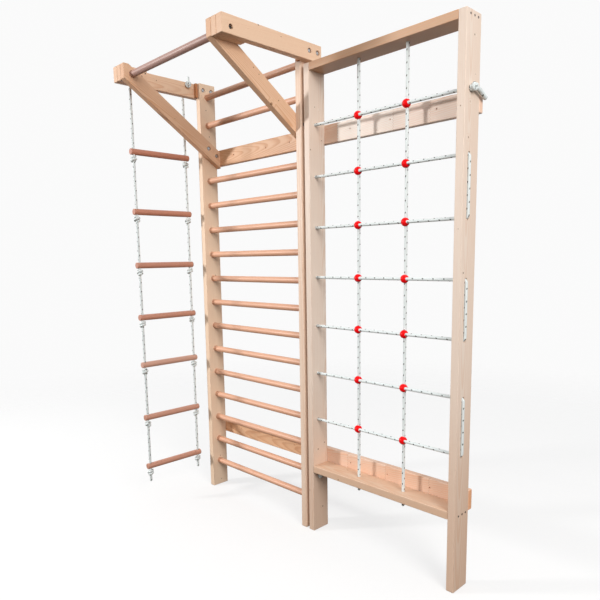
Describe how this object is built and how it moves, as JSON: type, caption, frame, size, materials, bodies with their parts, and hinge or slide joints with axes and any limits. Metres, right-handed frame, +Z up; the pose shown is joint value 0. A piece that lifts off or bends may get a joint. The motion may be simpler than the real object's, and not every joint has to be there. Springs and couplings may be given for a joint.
{
  "type": "wall bars",
  "caption": "Wooden wall bars with a braced pull-up bar, a swinging rope ladder on its left arm and a climbing-net frame with red balls beside them.",
  "frame": {"origin": "middle of the bounding box, without the ladder's ropes, at floor level", "axes": "+Z up, +X along the wall from the ladder to the net, +Y into the wall"},
  "size_m": [1.8039, 0.6234, 2.428],
  "materials": {
    "pine": "planed pine, clear satin varnish",
    "pale_pine": "finger-jointed pine, clear satin varnish",
    "dark_pine": "pine strip, clear varnish",
    "rung_wood": "turned beech dowel, clear satin varnish",
    "ladder_rung_wood": "red-brown turned dowel",
    "rope": "braided white rope with dark flecks",
    "ball_plastic": "glossy red"
  },
  "bodies": {
    "frame": {"bars_post_left": "pine", "bars_post_right": "pine", "rung_01": "rung_wood", "rung_02": "rung_wood", "rung_03": "rung_wood", "rung_04": "rung_wood", "rung_05": "rung_wood", "rung_06": "rung_wood", "rung_07": "rung_wood", "rung_08": "rung_wood", "rung_09": "rung_wood", "rung_10": "rung_wood", "rung_11": "rung_wood", "rung_12": "rung_wood", "rung_13": "rung_wood", "rung_14": "rung_wood", "rung_15": "rung_wood", "bars_board_lower": "pale_pine", "bars_board_upper": "pale_pine", "arm_left": "pine", "brace_left": "pine", "spacer_block_left": "pine", "stop_strip_left": "dark_pine", "arm_right": "pine", "brace_right": "pine", "spacer_block_right": "pine", "stop_strip_right": "dark_pine", "pull_up_bar": "rung_wood", "net_post_left": "pine", "net_post_right": "pine", "net_beam": "pine", "net_shelf": "pine", "net_board_lower": "pale_pine", "net_board_upper": "pale_pine", "climbing_net": "rope", "net_ball_1_1": "ball_plastic", "net_ball_1_2": "ball_plastic", "net_ball_1_3": "ball_plastic", "net_ball_1_4": "ball_plastic", "net_ball_1_5": "ball_plastic", "net_ball_1_6": "ball_plastic", "net_ball_1_7": "ball_plastic", "net_ball_2_1": "ball_plastic", "net_ball_2_2": "ball_plastic", "net_ball_2_3": "ball_plastic", "net_ball_2_4": "ball_plastic", "net_ball_2_5": "ball_plastic", "net_ball_2_6": "ball_plastic", "net_ball_2_7": "ball_plastic", "ladder_rope_top_front": "rope", "ladder_rope_top_back": "rope"},
    "ladder": {"ladder_rope_front": "rope", "ladder_rope_back": "rope", "ladder_rung_1": "ladder_rung_wood", "ladder_rung_2": "ladder_rung_wood", "ladder_rung_3": "ladder_rung_wood", "ladder_rung_4": "ladder_rung_wood", "ladder_rung_5": "ladder_rung_wood", "ladder_rung_6": "ladder_rung_wood", "ladder_rung_7": "ladder_rung_wood"}
  },
  "joints": [
    {"name": "ladder_swing", "type": "hinge", "parent": "frame", "child": "ladder", "pos_m": [-0.88445, -0.05115, 2.3147], "axis": [0, 1, 0], "range_deg": [-9, 25]}
  ]
}
